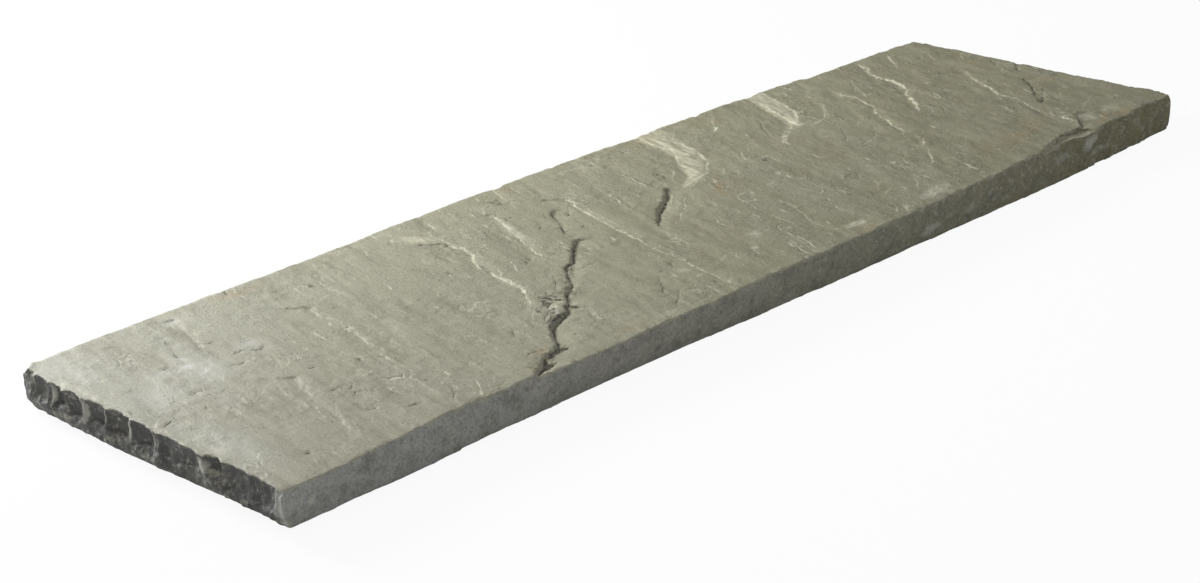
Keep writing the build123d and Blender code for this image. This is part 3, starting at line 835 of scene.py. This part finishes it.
# A worn pale rim where the top meets the standing faces
colour = s.mix(s.mark("skin"), side, top)
rim = s.times(s.mark("skin"), s.math("SUBTRACT", 1.0, s.mark("skin")))
rim = s.times(s.ramp(rim, 0.02, 0.2), s.ramp(s.noise(coords, 140, 5, 0.75), 0.42, 0.58, 0, 0.6))
colour = s.mix(rim, colour, RIM_TONE)

# Roughness and the grain too fine for the mesh
BUMP_REACH = 0.0014
rough = s.ramp(s.noise(coords, 120, 4), 0.3, 0.7, 0.5, 0.7)
fine = s.math("ADD", s.times(s.noise(coords, 480, 4, 0.8), 0.8), s.times(s.noise(streaks, 170, 6, 0.75), 0.9))
flakes = s.times(s.ramp(layers, 0.0, 0.12), s.math("SUBTRACT", 1.0, layers))
fine = s.math("ADD", fine, s.times(s.times(flakes, flaky), 0.7))
bump_strength = s.ramp(place_x, -0.45, 0.1, 0.5, 0.95)
bump = s.add("ShaderNodeBump", {"Height": fine, "Strength": bump_strength, "Distance": BUMP_REACH}).outputs["Normal"]
shader = s.add("ShaderNodeBsdfPrincipled", {"Base Color": colour, "Roughness": rough, "Normal": bump})
s.add("ShaderNodeOutputMaterial", {"Surface": shader.outputs["BSDF"]})
mesh.materials.append(s.owner)

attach(stone, "root")
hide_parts("coping_stone")

# Floor, background and light

FLOOR_HALF = 12.0
FLOOR_DROP = 0.0002
FLOOR_WHITE = 0.93          # how much of the white background the camera sees in the floor
SOFT_LIGHT = 0.46
WHITE = (1, 1, 1, 1)
PAPER = (0.9, 0.9, 0.9, 1)

h = FLOOR_HALF
floor_mesh = bpy.data.meshes.new("floor")
floor_mesh.from_pydata([(-h, -h, 0), (h, -h, 0), (h, h, 0), (-h, h, 0)], [], [(0, 1, 2, 3)])
floor = bpy.data.objects.new("floor", floor_mesh)
floor.location.z = -FLOOR_DROP
bpy.context.scene.collection.objects.link(floor)
f = Nodes(bpy.data.materials.new("floor"))
paper = f.add("ShaderNodeBsdfDiffuse", {"Color": PAPER})
white = f.add("ShaderNodeEmission", {"Color": WHITE, "Strength": 1.0})
seen = f.add("ShaderNodeLightPath").outputs["Is Camera Ray"]
lifted = f.add("ShaderNodeMixShader", {0: f.times(seen, FLOOR_WHITE), 1: paper.outputs[0], 2: white.outputs[0]})
f.add("ShaderNodeOutputMaterial", {"Surface": lifted.outputs[0]})
floor_mesh.materials.append(f.owner)

w = Nodes(bpy.data.worlds.new("studio"))
bpy.context.scene.world = w.owner
seen = w.add("ShaderNodeLightPath").outputs["Is Camera Ray"]
backdrop = w.add("ShaderNodeBackground", {0: WHITE})
soft = w.add("ShaderNodeBackground", {0: WHITE, 1: SOFT_LIGHT})
shown = w.add("ShaderNodeMixShader", {0: seen, 1: soft.outputs[0], 2: backdrop.outputs[0]})
w.add("ShaderNodeOutputWorld", {0: shown.outputs[0]})


def area_light(name, heading, elevation, distance, size, power):
    data = bpy.data.lights.new(name, "AREA")
    data.size = size
    data.energy = power
    lamp = bpy.data.objects.new(name, data)
    h, e = math.radians(heading), math.radians(elevation)
    spot = (distance * math.cos(h) * math.cos(e), distance * math.sin(h) * math.cos(e), distance * math.sin(e))
    lamp.location = spot
    lamp.rotation_mode = "QUATERNION"
    lamp.rotation_quaternion = Vector(spot).to_track_quat("Z", "Y")
    bpy.context.scene.collection.objects.link(lamp)


area_light("key", heading=112, elevation=26, distance=1.5, size=0.5, power=26.5)

bpy.context.scene.view_settings.view_transform = "Standard"
